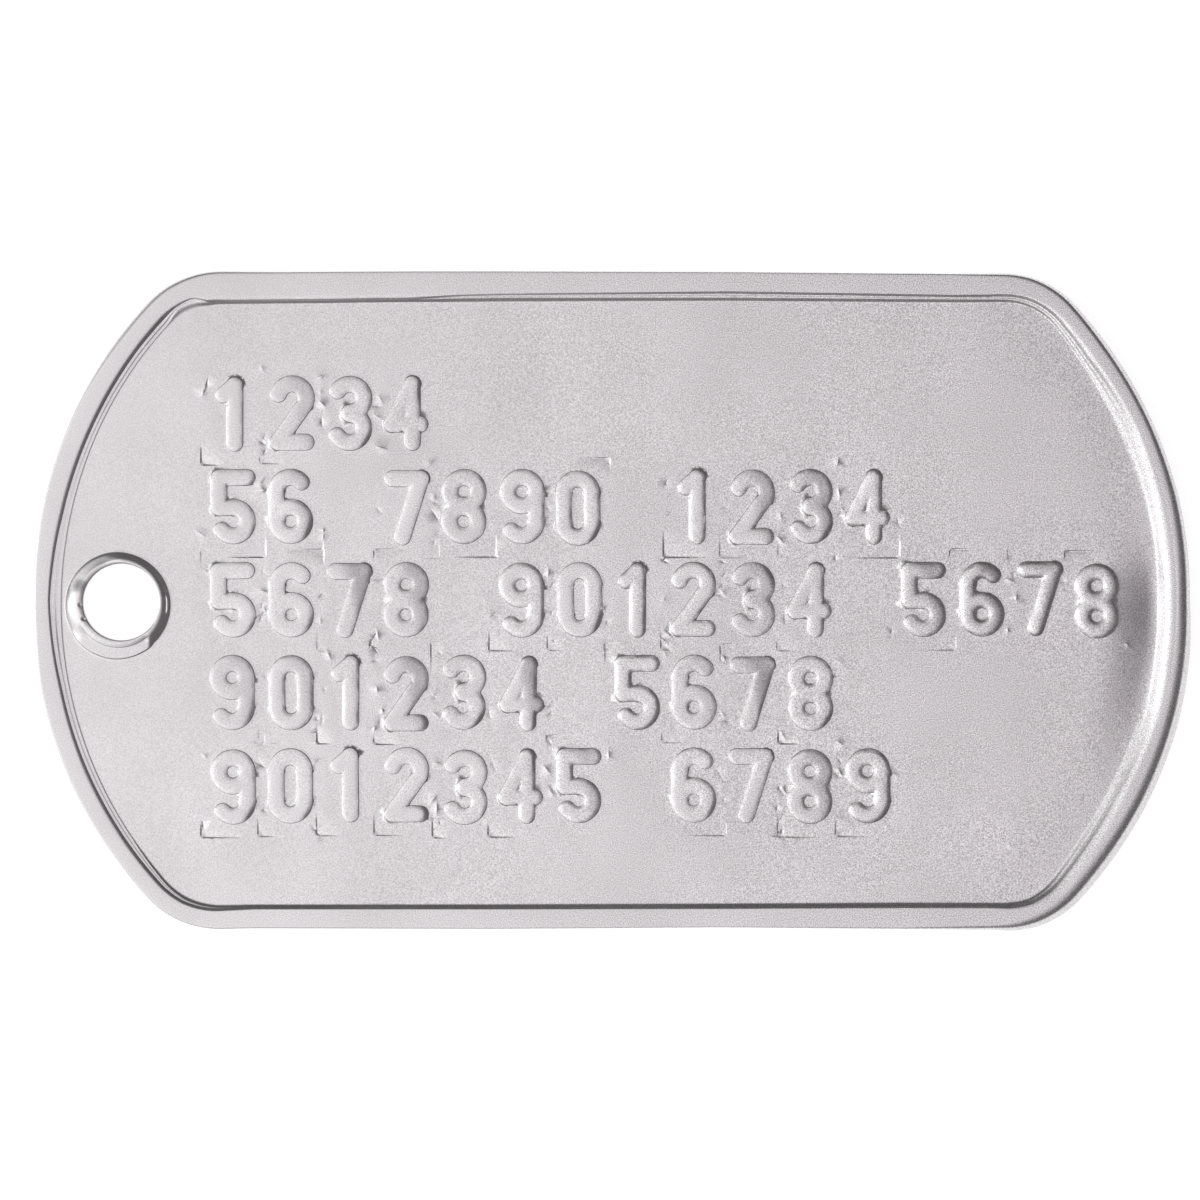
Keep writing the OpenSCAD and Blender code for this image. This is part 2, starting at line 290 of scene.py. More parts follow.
def collar(steps):
    """Rings round the hole, from the foot of the collar in to the hole, down its wall and
    out again at the back. Each ring is a circle whose middle and radius lie between those
    of the foot, the crest and the hole. Its height is a mix of four slopes, by the angle
    round the hole: plain at the right, with a small terrace in its middle, gentle at upper
    left, and a ledge at the bottom, where the foot reaches further out.
    Gives points in rows of steps and columns of rings."""
    rings = np.array([
        # share of foot, share of crest, extra radius, plain slope, gentle slope, ledge, terrace
        [1.000, 0.000, 0.03, 0.000, 0.000, 0.000, 0.000],
        [1.000, 0.000, 0.00, 0.004, 0.004, 0.006, 0.004],
        [0.990, 0.010, 0.00, 0.008, 0.008, 0.122, 0.014],
        [0.975, 0.025, 0.00, 0.014, 0.014, 0.137, 0.030],
        [0.950, 0.050, 0.00, 0.024, 0.023, 0.139, 0.055],
        [0.920, 0.080, 0.00, 0.036, 0.034, 0.140, 0.080],
        [0.870, 0.130, 0.00, 0.056, 0.050, 0.141, 0.115],
        [0.820, 0.180, 0.00, 0.076, 0.062, 0.142, 0.140],
        [0.760, 0.240, 0.00, 0.100, 0.072, 0.142, 0.156],
        [0.700, 0.300, 0.00, 0.123, 0.080, 0.143, 0.158],
        [0.640, 0.360, 0.00, 0.146, 0.087, 0.143, 0.155],
        [0.580, 0.420, 0.00, 0.168, 0.094, 0.144, 0.152],
        [0.500, 0.500, 0.00, 0.196, 0.104, 0.145, 0.170],
        [0.400, 0.600, 0.00, 0.227, 0.116, 0.146, 0.215],
        [0.300, 0.700, 0.00, 0.250, 0.129, 0.148, 0.245],
        [0.264, 0.736, 0.00, 0.257, 0.135, 0.150, 0.254],
        [0.251, 0.749, 0.00, 0.259, 0.137, 0.153, 0.257],
        [0.241, 0.759, 0.00, 0.260, 0.138, 0.231, 0.258],
        [0.228, 0.772, 0.00, 0.262, 0.140, 0.236, 0.261],
        [0.190, 0.810, 0.00, 0.267, 0.147, 0.240, 0.266],
        [0.140, 0.860, 0.00, 0.271, 0.155, 0.250, 0.271],
        [0.070, 0.930, 0.00, 0.275, 0.166, 0.262, 0.275],
        [0.000, 1.000, 0.00, 0.277, 0.170, 0.268, 0.277],
        [0.000, 0.850, 0.00, 0.278, 0.169, 0.270, 0.278],
        [0.000, 0.600, 0.00, 0.271, 0.162, 0.270, 0.271],
        [0.000, 0.350, 0.00, 0.259, 0.150, 0.267, 0.259],
        [0.000, 0.150, 0.00, 0.244, 0.136, 0.258, 0.244],
        [0.000, 0.050, 0.00, 0.222, 0.114, 0.236, 0.222],
        [0.000, 0.010, 0.00, 0.180, 0.080, 0.180, 0.180],
        [0.000, 0.000, 0.00, 0.120, 0.040, 0.120, 0.120],
        [0.000, 0.000, 0.00, -0.100, -0.100, -0.100, -0.100],
        [0.000, 0.000, 0.015, -0.140, -0.140, -0.140, -0.140],
        [0.000, 0.200, 0.00, -0.150, -0.150, -0.150, -0.150],
        [0.350, 0.650, 0.00, -0.250, -0.250, -0.250, -0.250],
        [0.700, 0.300, 0.00, -0.350, -0.350, -0.350, -0.350],
        [0.900, 0.100, 0.00, -0.394, -0.394, -0.394, -0.394],
        [1.000, 0.000, -0.02, -0.400, -0.400, -0.400, -0.400],
    ])
    turn = np.arange(steps)[:, None] / steps * 2 * math.pi
    shares = np.column_stack([rings[:, 0], rings[:, 1], 1 - rings[:, 0] - rings[:, 1]])
    middle = shares @ np.array([foot_middle, crest_middle, hole_middle])
    radius = shares @ np.array([foot_radius, crest_radius, hole_radius]) + rings[:, 2]

    # degrees round the hole at which each slope takes over and gives way
    angle = np.degrees(turn)
    gentle = ease(angle, 84, 112) * (1 - ease(angle, 146, 168))
    ledge = ease(angle, 206, 226) * (1 - ease(angle, 306, 314))
    terrace = 1 - ease(np.minimum(angle, 360 - angle), 7, 16)
    plain = 1 - gentle - ledge - terrace
    weights = np.stack([plain, gentle, ledge, terrace], axis=2)
    height = (weights * rings[None, :, 3:]).sum(axis=2)
    further = foot_left * ease(-np.cos(turn), -0.6, 0.2) + foot_ledge * ledge
    radius = radius + rings[:, 0] * further

    # the punch nicked the lip at the left, in two bell curves by angle, at 205 and 184 degrees
    nick = np.exp(-((angle - 205) / 2.2) ** 2) + 0.6 * np.exp(-((angle - 184) / 3.0) ** 2)
    nick = nick * np.exp(-((rings[:, 1] - 0.5) / 0.35) ** 2) * (rings[:, 0] == 0) * (rings[:, 3] > 0)
    height = height - lip_nick * nick
    x = middle[:, 0] + (radius + 0.03 * nick) * np.cos(turn)
    y = middle[:, 1] + (radius + 0.03 * nick) * np.sin(turn)
    lift = sheet_lift(x, y)
    return np.stack([x, y, panel_front + height + lift], axis=2)


hole = collar(collar_steps)


# Numerals. Each is pressed up through the sheet by a male and a female die, one at a time,
# so their height, softness, place and lean differ a little. They count on from 1 through
# all the rows. The back shows the same strokes as grooves.
numeral_height = 3.25
numeral_width = 1.93
stroke_width = 0.68
stroke_edge = 0.350

# How a stroke's edge rounds off and slumps, how its top domes, how it drags the sheet
# beside it, and the groove that it leaves at the back.
edge_wall = 0.016
edge_round = 0.20
edge_depth = 0.10
slump_round = 0.28
slump_depth = 0.10
slump_reach = 0.42
least_dome = 0.02
more_dome = 0.20
least_height = 0.02
drag_depth = 0.006
drag_off = 0.50
drag_width = 0.14
groove_share = 0.95
groove_edge = 0.24
groove_wall = 0.14
front_blend = 0.03
back_blend = 0.07

column_pitch = 2.54
row_pitch = 4.1
first_x = -16.725
bowl_r = (numeral_width - stroke_width) / 2
bowl_y = (numeral_height - stroke_width) / 2 - bowl_r

# How many numerals stand together in each row's groups. The widest row has 16 columns, and
# one more is kept empty after it.
ROW_GROUPS = [[4], [2, 4, 4], [4, 6, 4], [6, 4], [7, 4]]
column_count = 17
nowhere = 9.0

# Strokes of 0 to 9. A bar runs from one place to another, each given as shares of bowl_r
# across, of bowl_y up, and of bowl_r up on top of that. A bend goes round a middle, given
# as a share of bowl_y up, from a start through a sweep in degrees.
STROKES = [
    ([[-1, 1, 0, -1, -1, 0], [1, 1, 0, 1, -1, 0]], [[1, 0, 180], [-1, 180, 180]]),
    ([[0.1, 1, 1, 0.1, -1, -1], [0.1, 1, 1, -0.7, 1, 0.3]], []),
    ([[0.906, 1, -0.423, -1, -1, -1], [-1, -1, -1, 1, -1, -1]], [[1, -25, 190]]),
    ([[0, 1, -1, 0, -1, 1]], [[1, -90, 240], [-1, -150, 240]]),
    ([[0.45, 1, 1, -1, -1, 0.3], [-1, -1, 0.3, 1, -1, 0.3], [0.45, 1, 1, 0.45, -1, -1]], []),
    ([[-1, 1, 1, 1, 1, 1], [-1, 1, 1, -1, -1, 1], [-1, -1, 1, 0, -1, 1]], [[-1, -145, 235]]),
    ([[-1, -1, 0, -1, 1, 0]], [[-1, 0, 360], [1, 40, 140]]),
    ([[-1, 1, 1, 1, 1, 1], [1, 1, 1, -0.3, -1, -1]], []),
    ([[0, 1, -1, 0, -1, 1]], [[1, 0, 360], [-1, 0, 360]]),
    ([[1, 1, 0, 1, -1, 0]], [[1, 0, 360], [-1, -140, 140]]),
]


def numeral_places():
    """Where each numeral stands, as rows of digit, row and column. A group of numerals is
    followed by one empty column."""
    found = []
    for row, groups in enumerate(ROW_GROUPS):
        column = 0
        for group in groups:
            for k in range(group):
                found.append([(len(found) + 1) % 10, row, column + k])
            column += group + 1
    return np.array(found)


places = numeral_places()
chance = np.random.default_rng(11)
count = len(places)

# soft is how much of the edge rounds off, tip how the height changes across and up the
# numeral, slump how far a stroke's end at slump_y sank, and sag how far the right side did.
NUMERALS = {
    "digit": places[:, 0],
    "x": first_x + places[:, 2] * column_pitch + chance.normal(0, 0.035, count),
    "y": (2 - places[:, 1]) * row_pitch + chance.normal(0, 0.03, count),
    "lean": np.radians(chance.normal(0, 0.5, count)),
    "rise": np.clip(chance.normal(0.17, 0.04, count), 0.08, 0.25),
    "soft": chance.uniform(0.09, 0.24, count),
    "tip_x": chance.normal(0.02, 0.05, count),
    "tip_y": chance.normal(0.03, 0.05, count),
    "slump": chance.uniform(0.25, 1.0, count) * (chance.random(count) < 0.6),
    "slump_y": chance.choice([-1.25, -1.0, 0.9, 1.2], count),
    "sag": chance.uniform(0.15, 0.55, count) * (chance.random(count) < 0.35),
}
numeral_at = np.full((len(ROW_GROUPS), column_count), -1)
numeral_at[places[:, 1], places[:, 2]] = np.arange(count)


def strokes_of(digit):
    """A numeral's bars as x, y to x, y, and its bends as middle height, start and sweep."""
    bars, bends = STROKES[digit]
    bars = np.array(bars, float).reshape(-1, 2, 3)
    across = bars[:, :, 0] * bowl_r
    up = bars[:, :, 1] * bowl_y + bars[:, :, 2] * bowl_r
    bends = np.array(bends, float).reshape(-1, 3) * [bowl_y, 1, 1]
    return np.stack([across, up], axis=2), bends


def from_bar(u, v, bar):
    """Distance to a bar: to the nearest point of the straight line between its two ends."""
    (ax, ay), (bx, by) = bar
    rx, ry = bx - ax, by - ay
    t = np.clip(((u - ax) * rx + (v - ay) * ry) / (rx * rx + ry * ry), 0, 1)
    return np.hypot(u - ax - t * rx, v - ay - t * ry)


def from_bend(u, v, bend):
    """Distance to a bend: to its circle where the point's angle is within the sweep, and
    to the nearer end of the arc elsewhere."""
    height, start, sweep = bend
    w = v - height
    on_circle = np.abs(np.hypot(u, w) - bowl_r)
    if sweep >= 360:
        return on_circle
    within = (np.degrees(np.arctan2(w, u)) - start) % 360 <= sweep
    a, b = math.radians(start), math.radians(start + sweep)
    to_start = np.hypot(u - bowl_r * math.cos(a), w - bowl_r * math.sin(a))
    to_end = np.hypot(u - bowl_r * math.cos(b), w - bowl_r * math.sin(b))
    return np.where(within, on_circle, np.minimum(to_start, to_end))


def from_strokes(u, v, digit, blend):
    """Distance to a numeral's centre lines: the least of the distances to its strokes, with
    the hollow between two strokes filled by a curve as wide as blend."""
    bars, bends = strokes_of(digit)
    parts = [from_bar(u, v, bar) for bar in bars] + [from_bend(u, v, bend) for bend in bends]
    nearest = parts[0]
    for other in parts[1:]:
        overlap = np.clip(blend - np.abs(nearest - other), 0, None)
        nearest = np.minimum(nearest, other) - overlap ** 2 / (4 * blend)
    return nearest


def parabola(value, width):
    """A parabola from 0 at a width before zero to 1 at zero, and 1 beyond."""
    return np.clip(value / width + 1, 0, 1) ** 2


def round_end(x, y, level, first, steps):
    """Points on a circle about a stroke's end, at even turns from a first direction."""
    turn = first + np.arange(steps) / steps * 2 * math.pi
    return np.stack([x + level * np.cos(turn), y + level * np.sin(turn)], axis=1)


def lines_along(digit, levels, spacing):
    """Points on lines that run at each level's distance from the centre lines, on both
    sides and round the ends, less those that another stroke comes nearer to. The points
    stand side by side from line to line, and a line marked 2 has every second of them.
    Inside a bend they stand closer."""
    bars, bends = strokes_of(digit)
    closer = 0.72
    end_steps = 4 * round(math.pi * stroke_edge / spacing / 2)
    found = []
    for level, every in levels:
        pieces = []
        for (ax, ay), (bx, by) in bars:
            run = math.hypot(bx - ax, by - ay)
            steps = 2 * max(1, round(run / spacing / 2))
            t = np.linspace(0, 1, steps + 1)[::every, None]
            line = np.array([[ax, ay]]) * (1 - t) + np.array([[bx, by]]) * t
            side = np.array([[ay - by, bx - ax]]) / run * level
            pieces += [line + side, line - side]
            first = math.atan2(bx - ax, ay - by)
            for x, y in ((ax, ay), (bx, by)):
                pieces.append(round_end(x, y, level, first, end_steps // every))
        for height, start, sweep in bends:
            for side, pitch in ((1, spacing), (-1, closer * spacing)):
                run = math.radians(sweep) * (bowl_r + side * stroke_edge)
                steps = 2 * round(run / pitch / 2)
                turn = np.radians(start + sweep * np.linspace(0, 1, steps + 1)[::every, None])
                ring = np.hstack([np.cos(turn), np.sin(turn)])
                pieces.append(ring * (bowl_r + side * level) + [0, height])
            ends = [start, start + sweep] if sweep < 360 else []
            for angle in np.radians(ends):
                x, y = bowl_r * math.cos(angle), bowl_r * math.sin(angle) + height
                pieces.append(round_end(x, y, level, angle, end_steps // every))
        points = np.vstack(pieces)
        off = from_strokes(points[:, 0], points[:, 1], digit, 1e-6)
        found.append(points[np.abs(off - level) < 0.004])
    return np.vstack(found)


def on_each_numeral(levels, spacing):
    """The lines along the strokes, laid at every numeral's own place and lean."""
    found = []
    for digit in range(10):
        lines = lines_along(digit, levels, spacing)
        for k in np.flatnonzero(NUMERALS["digit"] == digit):
            c, s = math.cos(NUMERALS["lean"][k]), math.sin(NUMERALS["lean"][k])
            laid = lines @ np.array([[c, s], [-s, c]])
            found.append(laid + [NUMERALS["x"][k], NUMERALS["y"][k]])
    return np.vstack(found)


def nearest_strokes(x, y, blend):
    """For each point, the number of the numeral in whose cell it lies, its place from that
    numeral's middle, and its distance to that numeral's centre lines. An empty cell has
    the number -1 and a distance far beyond any stroke."""
    row = np.clip(np.round(2 - y / row_pitch), 0, len(ROW_GROUPS) - 1).astype(int)
    column = np.clip(np.round((x - first_x) / column_pitch), 0, column_count - 1).astype(int)
    k = numeral_at[row, column]
    dx, dy = x - NUMERALS["x"][k], y - NUMERALS["y"][k]
    c, s = np.cos(NUMERALS["lean"][k]), np.sin(NUMERALS["lean"][k])
    u, v = c * dx + s * dy, c * dy - s * dx
    off = np.full(len(x), nowhere)
    for digit in range(10):
        here = (k >= 0) & (NUMERALS["digit"][k] == digit)
        off[here] = from_strokes(u[here], v[here], digit, blend)
    return k, u, v, off


def ragged(x, y):
    """Small unevenness, from -1 to 1: two sums of sines of unlike lengths and leans."""
    long = np.sin(7.1 * x + 3.3 * y + 1.0) * np.sin(2.9 * x - 6.7 * y)
    short = np.sin(14.3 * x - 9.1 * y + 0.4) * np.sin(11.2 * x + 13.7 * y + 2.0)
    return 0.6 * long + 0.4 * short


def numeral_lift(x, y):
    """Height of the pressed strokes at the front. A stroke is nearly flat on top. Towards
    its edge it rounds off along a parabola, ragged where the dies tore at the steel, and
    then drops by a steep wall and drags the sheet down a little outside, by a bell curve.
    Some strokes slump at a right-hand end, some numerals sag towards the right, and near
    the right end of the tag the strokes are softer and more domed."""
    k, u, v, off = nearest_strokes(x, y, front_blend)
    rise = NUMERALS["rise"][k] * (1 + NUMERALS["tip_x"][k] * u + NUMERALS["tip_y"][k] * v)
    torn = 0.5 * ragged(0.4 * x, 0.4 * y) + 0.4 * ragged(1.7 * x, 1.7 * y)
    slump_near = np.exp(-((v - NUMERALS["slump_y"][k]) / slump_reach) ** 2)
    slump = NUMERALS["slump"][k] * ease(u, 0.40, 0.85) * slump_near
    near_end = ease(x, 9, 20)
    soft = NUMERALS["soft"][k] * (1 + torn) * (1 + 0.8 * ease(x, -8, 4) + 0.7 * near_end)
    rounded = soft * edge_depth * parabola(off - stroke_edge, edge_round)
    rounded = rounded + slump * slump_depth * parabola(off - stroke_edge, slump_round)
    dome = least_dome + more_dome * near_end
    top = 1 - dome * np.clip(off / stroke_edge, 0, 1) ** 2
    sag = NUMERALS["sag"][k] * ease(u + 0.25 * v, 0.0, 1.3) * rise
    drag = drag_depth * np.exp(-((off - drag_off) / drag_width) ** 2)
    height = np.maximum((rise - sag) * top - rounded, least_height)
    return height * ease(stroke_edge + edge_wall - off, 0, edge_wall) - drag


def groove_lift(x, y):
    """Height of the grooves at the back: the strokes again, narrower, with soft walls."""
    k, _, _, off = nearest_strokes(x, y, back_blend)
    rise = groove_share * NUMERALS["rise"][k]
    return rise * ease(groove_edge - off, 0, groove_wall)


# Die marks and nicks. The dies are square blocks, and a block that was tilted dug one of
# its corners into the sheet beside its numeral. Handling left nicks, small pits and, left
# of the middle, a cracked scar.
pad_width = 2.9
pad_height = 4.5
pad_edge = 0.035
PADS = {
    "side": np.where(chance.random(count) < 0.65, -1, 1),
    "end": np.where(chance.random(count) < 0.7, -1, 1),
    "depth": np.clip(chance.normal(0.030, 0.016, count), 0.0, 0.06),
    "along": chance.uniform(0.5, 2.6, count),
    "up": chance.uniform(0.3, 1.6, count),
}
PAD_LINES = np.array([-0.03, 0.0, 0.018, 0.038, 0.075])
nick_count = 150
nick_numeral = chance.integers(0, count, nick_count)
nick_turn = chance.uniform(0, 2 * math.pi, nick_count)
nick_side = column_pitch / 2 * np.sign(np.cos(nick_turn))
NICKS = {
    "x": NUMERALS["x"][nick_numeral] + nick_side + chance.normal(0, 0.12, nick_count),
    "y": NUMERALS["y"][nick_numeral] + chance.uniform(-2.05, 2.05, nick_count),
    "lift": chance.choice([-0.030, -0.016, 0.016, 0.032], nick_count),
    "long": chance.uniform(0.06, 0.22, nick_count),
    "wide": chance.uniform(0.035, 0.06, nick_count),
    "lean": nick_turn,
}
crack_wall = 0.008
SCAR = np.array([
    # four cracks that meet: x, y, depth, half its length, width, lean in degrees
    [-10.535, -1.65, 0.10, 0.17, 0.045, 59],
    [-10.650, -1.90, 0.14, 0.11, 0.095, 79],
    [-10.500, -2.14, 0.10, 0.20, 0.045, -54],
    [-10.500, -2.06, 0.06, 0.10, 0.035, -20],
])


def pad_lift(x, y):
    """How far the corners of the die blocks dug in: each digs deepest at its own corner and
    fades along both edges, with a steep edge outside. Where two meet, the deeper counts."""
    deepest = np.zeros(len(x))
    for k in range(count):
        a = pad_width / 2 + PADS["side"][k] * (NUMERALS["x"][k] - x)
        b = pad_height / 2 + PADS["end"][k] * (NUMERALS["y"][k] - y)
        fade = np.clip(1 - np.abs(a) / PADS["along"][k] - np.abs(b) / PADS["up"][k], 0, 1)
        dug = PADS["depth"][k] * fade * ease(a, 0, pad_edge) * ease(b, 0, pad_edge)
        deepest = np.maximum(deepest, dug)
    return -deepest


def pad_points(spacing):
    """Points on lines beside each edge of the dug corners, as far as the digging runs."""
    found = []
    for k in np.flatnonzero(PADS["depth"] > 0.002):
        along = np.arange(0, PADS["along"][k], spacing)
        up = np.arange(0, PADS["up"][k], spacing)
        a = np.concatenate([np.repeat(along, len(PAD_LINES)), np.tile(PAD_LINES, len(up))])
        b = np.concatenate([np.tile(PAD_LINES, len(along)), np.repeat(up, len(PAD_LINES))])
        x = NUMERALS["x"][k] + PADS["side"][k] * (pad_width / 2 - a)
        y = NUMERALS["y"][k] + PADS["end"][k] * (pad_height / 2 - b)
        found.append(np.stack([x, y], axis=1))
    return np.vstack(found)


def nick_lift(x, y):
    """Nicks as small long mounds or pits, each a bell curve across and along its lean."""
    total = np.zeros(len(x))
    for k in range(nick_count):
        dx, dy = x - NICKS["x"][k], y - NICKS["y"][k]
        c, s = math.cos(NICKS["lean"][k]), math.sin(NICKS["lean"][k])
        along, across = (c * dx + s * dy) / NICKS["long"][k], (c * dy - s * dx) / NICKS["wide"][k]
        total += NICKS["lift"][k] * np.exp(-along ** 2 - across ** 2)
    return total


def nick_points():
    """A net of five by five points over each nick, out to where it fades."""
    a, b = np.meshgrid([-1.6, -0.8, 0.0, 0.8, 1.6], [-1.7, -0.8, 0.0, 0.8, 1.7])
    a = a.reshape(1, -1) * NICKS["long"][:, None]
    b = b.reshape(1, -1) * NICKS["wide"][:, None]
    c, s = np.cos(NICKS["lean"])[:, None], np.sin(NICKS["lean"])[:, None]
    x = NICKS["x"][:, None] + c * a - s * b
    y = NICKS["y"][:, None] + s * a + c * b
    return np.stack([x.ravel(), y.ravel()], axis=1)


def along_and_across(x, y, crack):
    """A place from a crack's middle: along its lean, and across it towards the right."""
    lean = math.radians(crack[5])
    dx, dy = x - crack[0], y - crack[1]
    along = dx * math.cos(lean) + dy * math.sin(lean)
    across = dx * math.sin(lean) - dy * math.cos(lean)
    return along, across * np.sign(lean)


def scar_lift(x, y):
    """How deep the cracks are. Each falls along a parabola from its left edge and ends at a
    steep wall, and fades towards its ends along a bell curve. The deepest counts."""
    lift = np.zeros(len(x))
    for crack in SCAR:
        depth, half, width = crack[2:5]
        along, across = along_and_across(x, y, crack)
        fall = parabola(across, width) * np.clip(1 - across / crack_wall, 0, 1)
        lift = np.minimum(lift, -depth * fall * np.exp(-(along / half) ** 2))
    return lift


def scar_points():
    """Points on seven lines along each crack, out to where it fades."""
    found = []
    for x, y, _, half, width, degrees in SCAR:
        lines = [-1.2 * width, -0.7 * width, -0.3 * width, 0.0, crack_wall, 0.018, 0.035]
        along, across = np.meshgrid(np.linspace(-1.8, 1.8, 9) * half, lines)
        across = across * np.sign(degrees)
        c, s = math.cos(math.radians(degrees)), math.sin(math.radians(degrees))
        found.append(np.column_stack([
            x + c * along.ravel() + s * across.ravel(),
            y + s * along.ravel() - c * across.ravel(),
        ]))
    return np.vstack(found)


# Panel. The flat sheet between the rim, the collar and the numerals, front and back. It is
# a net of triangles that is fine along the strokes and marks and wide elsewhere, and it
# shares its edges with the rim and the collar, so the whole tag is one closed skin.
FRONT_LEVELS = [
    # distance from a stroke's centre line, and 1 for every point along it, 2 for every second
    [0.0, 2], [0.12, 2], [0.19, 1], [0.24, 1], [0.285, 1], [0.325, 1],
    [stroke_edge - 0.008, 1], [stroke_edge, 1], [stroke_edge + edge_wall, 1],
    [0.378, 1], [0.44, 2], [0.54, 2],
]
BACK_LEVELS = [[0.05, 1], [0.12, 1], [0.18, 1], [0.24, 1], [0.38, 1]]
wall_clearance = 0.435
net_clearance = 0.54
front_spacing = 0.145
back_spacing = 0.32
mark_spacing = 0.15
front_pitch = 0.50
back_pitch = 0.9
front_gap = 0.0075
back_gap = 0.03
rim_margin = 0.07
collar_margin = 0.05


def inside(points, loop, middle, margin):
    """Whether points lie inside a loop by a margin. The loop goes round its middle once, so
    each point is held against the one stretch of loop that lies in its direction."""
    arms = loop - middle
    angles = np.unwrap(np.arctan2(arms[:, 1], arms[:, 0]))
    own = points - middle
    angle = (np.arctan2(own[:, 1], own[:, 0]) - angles[0]) % (2 * math.pi) + angles[0]
    k = np.clip(np.searchsorted(angles, angle, side="right") - 1, 0, len(loop) - 1)
    start, run = arms[k], arms[(k + 1) % len(loop)] - arms[k]
    across = run[:, 0] * (own[:, 1] - start[:, 1]) - run[:, 1] * (own[:, 0] - start[:, 0])
    return across / np.hypot(run[:, 0], run[:, 1]) > margin


def spread(points, gap):
    """One point of those that fall in the same small square, so that none stand too close."""
    kept = np.unique(np.round(points / gap).astype(int), axis=0, return_index=True)[1]
    return points[np.sort(kept)]


def wide_net(pitch, outer, collar_loop):
    """A net of even triangles over the tag, less what lies near a stroke, and two rings
    each of points beside the rim and round the collar."""
    row_share = 0.866
    x = np.arange(-tag_length / 2, tag_length / 2, pitch)
    y = np.arange(-tag_width / 2, tag_width / 2, pitch * row_share)
    gx, gy = np.meshgrid(x, y)
    gx = gx + (np.arange(len(y)) % 2)[:, None] * pitch / 2
    net = np.stack([gx.ravel(), gy.ravel()], axis=1)
    off = nearest_strokes(*net.T, back_blend)[3]
    net = net[off > net_clearance + 0.3 * pitch]
    rings = [foot_middle + (collar_loop - foot_middle) * grow for grow in (1.05, 1.11)]
    centre, outwards = tag_edge(rim_steps)[:2]
    reach = np.hypot(*(outer - centre).T)[:, None]
    rings += [centre + outwards * (reach - step) for step in (0.14, 0.32)]
    return np.vstack([net] + rings)


def fill(outer, hole_loop, points):
    """Triangles between two loops and through the points: a Delaunay net that keeps the
    loops' edges, less what lies outside the outer loop or inside the inner one. Gives the
    points that are used and the triangles, numbered outer loop first, then inner, then points."""
    points = points[inside(points, outer, np.zeros(2), rim_margin)]
    points = points[~inside(points, hole_loop, foot_middle, -collar_margin)]
    n, m = len(outer), len(hole_loop)
    around = np.arange(n + m)
    after = np.concatenate([(np.arange(n) + 1) % n, n + (np.arange(m) + 1) % m])
    every = np.vstack([outer, hole_loop, points])
    edges = np.stack([around, after], axis=1).tolist()
    net = delaunay_2d_cdt(every.tolist(), edges, [], 0, 1e-9)
    triangles = np.array(net[2])
    corners = every[triangles]
    a, b = corners[:, 1] - corners[:, 0], corners[:, 2] - corners[:, 0]
    turned = a[:, 0] * b[:, 1] - a[:, 1] * b[:, 0] < 0
    triangles[turned] = triangles[turned][:, ::-1]
    middle = corners.mean(axis=1)
    in_rim = inside(middle, outer, np.zeros(2), 0.0005)
    in_hole = inside(middle, hole_loop, foot_middle, 0.0)
    return points, triangles[in_rim & ~in_hole]


def grid_faces(rows, columns, first):
    """Squares of a grid that closes on itself along its rows, each cut into two triangles."""
    i, j = np.meshgrid(np.arange(rows), np.arange(columns - 1), indexing="ij")
    a = first + i * columns + j
    b = first + (i + 1) % rows * columns + j
    a, b = a.ravel(), b.ravel()
    return np.vstack([np.stack([a, b, b + 1], axis=1), np.stack([a, b + 1, a + 1], axis=1)])


# front: the lines along the strokes come first, so that the wide net gives way to them
front_rim, front_hole = rim[:, 0, :2], hole[:, 0, :2]
marks = np.vstack([pad_points(mark_spacing), nick_points(), scar_points()])
marks = marks[nearest_strokes(*marks.T, front_blend)[3] > wall_clearance]
front_net = np.vstack([
    on_each_numeral(FRONT_LEVELS, front_spacing),
    marks,
    wide_net(front_pitch, front_rim, front_hole),
])
front, front_faces = fill(front_rim, front_hole, spread(front_net, front_gap))
front_z = panel_front + sheet_lift(*front.T) + numeral_lift(*front.T)
front_z = front_z + pad_lift(*front.T) + nick_lift(*front.T) + scar_lift(*front.T)

# back: the grooves behind the strokes
back_rim, back_hole = rim[:, -1, :2], hole[:, -1, :2]
back_net = np.vstack([
    on_each_numeral(BACK_LEVELS, back_spacing),
    wide_net(back_pitch, back_rim, back_hole),
])
back, back_faces = fill(back_rim, back_hole, spread(back_net, back_gap))
back_z = panel_back + sheet_lift(*back.T) + groove_lift(*back.T)

# one skin in metres: rim, collar, front and back, numbered in that order
rim_points = rim.reshape(-1, 3)
hole_points = hole.reshape(-1, 3)
rim_columns, hole_columns = rim.shape[1], hole.shape[1]
hole_first = len(rim_points)
rim_loop = np.arange(rim_steps) * rim_columns
hole_loop = hole_first + np.arange(collar_steps) * hole_columns
front_first = hole_first + len(hole_points)
back_first = front_first + len(front)
front_number = np.concatenate([rim_loop, hole_loop, front_first + np.arange(len(front))])
last_ring = [rim_loop + rim_columns - 1, hole_loop + hole_columns - 1]
back_number = np.concatenate(last_ring + [back_first + np.arange(len(back))])
vertices = np.vstack([
    rim_points,
    hole_points,
    np.column_stack([front, front_z]),
    np.column_stack([back, back_z]),
])
triangles = np.vstack([
    grid_faces(rim_steps, rim_columns, 0)[:, ::-1],
    grid_faces(collar_steps, hole_columns, hole_first),
    front_number[front_faces],
    back_number[back_faces][:, ::-1],
])

